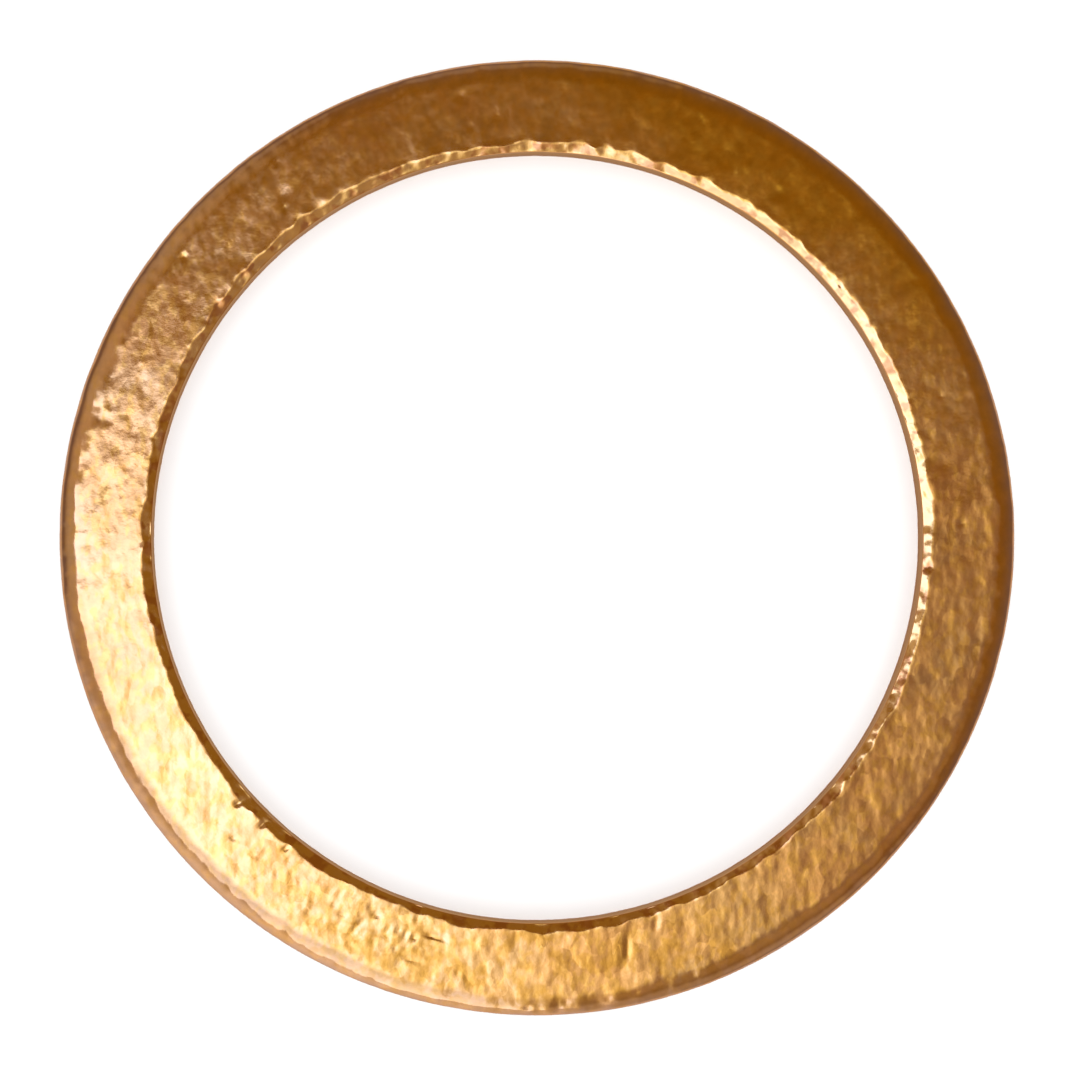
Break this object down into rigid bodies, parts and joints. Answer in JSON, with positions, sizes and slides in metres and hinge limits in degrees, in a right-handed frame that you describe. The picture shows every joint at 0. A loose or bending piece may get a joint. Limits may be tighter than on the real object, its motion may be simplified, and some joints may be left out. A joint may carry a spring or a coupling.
{
  "type": "flat washer",
  "caption": "Thin copper flat washer: a plain ring with a rolled rim and a bevelled bore that seals under a bolt head or a banjo fitting.",
  "frame": {"origin": "centre of the ring's bottom face, the side with the eased edges, where it would lie on a table", "axes": "+Z along the bore axis, out of the face with the rolled rim; X and Y are any two directions across the ring, which is round"},
  "size_m": [0.0198, 0.0198, 0.0015],
  "materials": {
    "copper": "annealed and tumbled copper, satin with fine dents and scratches"
  },
  "bodies": {
    "root": {"washer_ring": "copper"}
  },
  "joints": []
}
